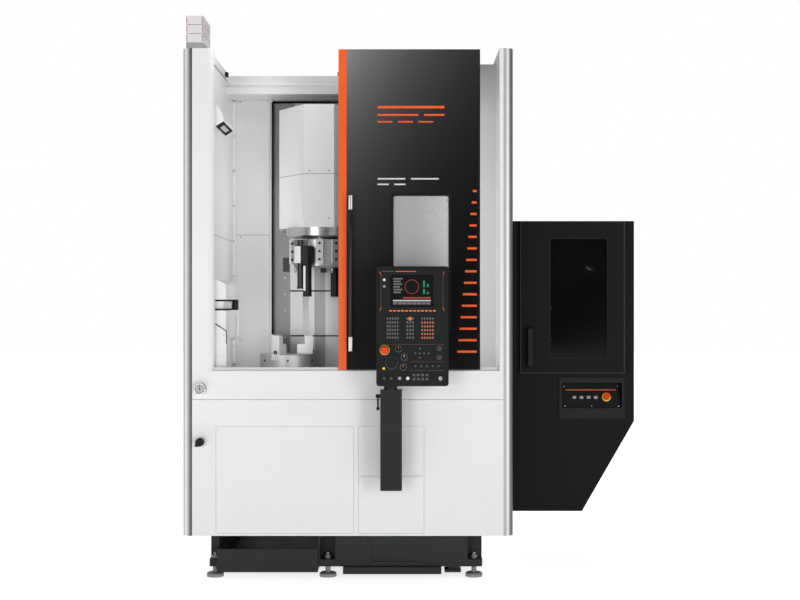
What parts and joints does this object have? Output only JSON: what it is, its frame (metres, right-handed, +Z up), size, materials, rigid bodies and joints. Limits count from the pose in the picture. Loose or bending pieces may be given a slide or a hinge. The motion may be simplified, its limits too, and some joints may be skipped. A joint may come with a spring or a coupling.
{
  "type": "cnc_vertical_turning_lathe",
  "caption": "Vertical CNC turning lathe with a white and black enclosure, sliding front door, drum turret over a jaw chuck, swivelling control pendant and a side cabinet",
  "frame": {"origin": "floor level, at the middle of the overall width and depth", "axes": "+Z up, +X to the operator's right, -Y towards the operator"},
  "size_m": [2.513, 2.442, 3.062],
  "materials": {
    "white_panel": "painted white, satin",
    "black_panel": "painted black, glossy",
    "dark_panel": "painted dark grey, satin",
    "orange_trim": "painted orange, satin",
    "aluminium": "brushed",
    "cast_iron": "painted dark grey",
    "steel_bright": "machined",
    "steel_dark": "blackened",
    "stainless": "brushed",
    "glass": "clear",
    "lens": "clear ribbed",
    "plastic_black": "satin",
    "plastic_red": "satin",
    "plastic_grey": "satin",
    "rubber": "matt"
  },
  "bodies": {
    "frame": {"bed_casting": "cast_iron", "levelling_feet": "steel_dark", "coolant_tank": "dark_panel", "column": "cast_iron", "headstock": "cast_iron", "spindle_bearings": "steel_bright", "left_side_cover": "white_panel", "right_side_cover": "white_panel", "front_frame": "white_panel", "lower_front_cover": "white_panel", "front_access_panels": "white_panel", "corner_posts": "aluminium", "chamber_guard": "white_panel", "inset_panel": "white_panel", "top_beam": "white_panel", "electrical_cabinet": "white_panel", "work_light": "plastic_grey", "signal_tower_base": "plastic_grey", "signal_tower_lenses": "lens", "pressure_gauge": "plastic_grey", "side_cabinet": "black_panel", "side_console": "dark_panel", "coolant_hose": "rubber", "pendant_post": "dark_panel"},
    "main_switch": {"main_switch": "plastic_red"},
    "electrical_door": {"electrical_door": "white_panel"},
    "pressure_knob": {"pressure_knob": "plastic_black"},
    "side_door": {"side_door": "black_panel", "side_window": "glass", "side_handle": "plastic_black"},
    "side_estop": {"side_estop": "plastic_red"},
    "front_door": {"front_door": "black_panel", "door_edge_trim": "orange_trim", "door_window": "glass", "door_handle": "aluminium", "door_rollers": "plastic_black"},
    "pendant_lever": {"pendant_lever": "steel_dark"},
    "pendant": {"pendant_housing": "plastic_black", "pendant_fascia": "plastic_black", "pendant_screen": "glass"},
    "pendant_estop": {"pendant_estop": "plastic_red"},
    "handwheel": {"handwheel": "plastic_black"},
    "feed_override_knob": {"feed_override_knob": "plastic_black"},
    "rapid_override_knob": {"rapid_override_knob": "plastic_black"},
    "spindle_override_knob": {"spindle_override_knob": "plastic_black"},
    "key_switch": {"key_switch": "steel_bright"},
    "x_carriage": {"x_saddle": "cast_iron", "x_cover": "stainless", "z_cover_lower": "stainless"},
    "z_cover_middle": {"z_cover_middle": "stainless"},
    "z_slide": {"ram": "cast_iron", "turret_hood": "white_panel", "z_cover_upper": "stainless"},
    "turret": {"turret_drum": "steel_bright", "turret_tools": "steel_dark"},
    "spindle": {"spindle": "steel_bright", "chuck_body": "steel_bright"},
    "jaw_1": {"jaw_1": "steel_bright"},
    "jaw_2": {"jaw_2": "steel_bright"},
    "jaw_3": {"jaw_3": "steel_bright"}
  },
  "joints": [
    {"name": "front_door_slide", "type": "slide", "parent": "frame", "child": "front_door", "axis": [-1, 0, 0], "range_m": [0, 0.67]},
    {"name": "side_door_swing", "type": "hinge", "parent": "frame", "child": "side_door", "pos_m": [1.2225, -0.589, 1.108], "axis": [0, 0, 1], "range_deg": [0, 110]},
    {"name": "electrical_door_swing", "type": "hinge", "parent": "frame", "child": "electrical_door", "pos_m": [-0.2705, 1.176, 0.57], "axis": [0, 0, -1], "range_deg": [0, 110]},
    {"name": "main_switch_turn", "type": "hinge", "parent": "electrical_door", "child": "main_switch", "pos_m": [-1.0265, 1.166, 1.5996], "axis": [0, 1, 0], "range_deg": [0, 90]},
    {"name": "pressure_knob_turn", "type": "hinge", "parent": "frame", "child": "pressure_knob", "pos_m": [-1.1568, -0.979, 0.76], "axis": [0, -1, 0], "range_deg": [-270, 270]},
    {"name": "side_estop_press", "type": "slide", "parent": "frame", "child": "side_estop", "axis": [0, 0.9532, -0.3024], "range_m": [0, 0.005], "stiffness_N_per_m": 3000},
    {"name": "pendant_swivel", "type": "hinge", "parent": "frame", "child": "pendant", "pos_m": [-0.13, -1.104, 1.049], "axis": [0, 0, -1], "range_deg": [0, 90]},
    {"name": "pendant_lever_turn", "type": "hinge", "parent": "frame", "child": "pendant_lever", "pos_m": [-0.184, -1.104, 1.015], "axis": [1, 0, 0], "range_deg": [-60, 60]},
    {"name": "pendant_estop_press", "type": "slide", "parent": "pendant", "child": "pendant_estop", "axis": [0, 1, 0], "range_m": [0, 0.006], "stiffness_N_per_m": 3000},
    {"name": "handwheel_turn", "type": "hinge", "parent": "pendant", "child": "handwheel", "pos_m": [-0.12382, -1.183, 1.19462], "axis": [0, 1, 0], "continuous": true},
    {"name": "feed_override_turn", "type": "hinge", "parent": "pendant", "child": "feed_override_knob", "pos_m": [-0.08734, -1.183, 1.2689], "axis": [0, 1, 0], "range_deg": [-135, 135]},
    {"name": "rapid_override_turn", "type": "hinge", "parent": "pendant", "child": "rapid_override_knob", "pos_m": [-0.0577, -1.183, 1.22484], "axis": [0, 1, 0], "range_deg": [-135, 135]},
    {"name": "spindle_override_turn", "type": "hinge", "parent": "pendant", "child": "spindle_override_knob", "pos_m": [-0.06245, -1.183, 1.17196], "axis": [0, 1, 0], "range_deg": [-135, 135]},
    {"name": "key_switch_turn", "type": "hinge", "parent": "pendant", "child": "key_switch", "pos_m": [0.1323, -1.183, 1.11405], "axis": [0, 1, 0], "range_deg": [0, 90]},
    {"name": "x_slide", "type": "slide", "parent": "frame", "child": "x_carriage", "axis": [1, 0, 0], "range_m": [-0.03, 0.25]},
    {"name": "z_slide", "type": "slide", "parent": "x_carriage", "child": "z_slide", "axis": [0, 0, -1], "range_m": [0, 0.2]},
    {"name": "z_cover_middle_slide", "type": "slide", "parent": "x_carriage", "child": "z_cover_middle", "axis": [0, 0, -1], "range_m": [0, 0.1]},
    {"name": "turret_index", "type": "hinge", "parent": "z_slide", "child": "turret", "pos_m": [-0.538, -0.419, 1.733], "axis": [0, 0, 1], "continuous": true},
    {"name": "spindle_spin", "type": "hinge", "parent": "frame", "child": "spindle", "pos_m": [-0.737, -0.419, 1.082], "axis": [0, 0, 1], "continuous": true},
    {"name": "jaw_1_slide", "type": "slide", "parent": "spindle", "child": "jaw_1", "axis": [-0.3746, -0.9272, 0], "range_m": [-0.008, 0.008]},
    {"name": "jaw_2_slide", "type": "slide", "parent": "spindle", "child": "jaw_2", "axis": [0.9903, 0.1392, 0], "range_m": [-0.008, 0.008]},
    {"name": "jaw_3_slide", "type": "slide", "parent": "spindle", "child": "jaw_3", "axis": [-0.6157, 0.788, 0], "range_m": [-0.008, 0.008]}
  ],
  "couplings": [
    {"joint": "z_cover_middle_slide", "follows": "z_slide", "ratio": 0.5},
    {"joint": "jaw_2_slide", "follows": "jaw_1_slide", "ratio": 1},
    {"joint": "jaw_3_slide", "follows": "jaw_1_slide", "ratio": 1}
  ]
}
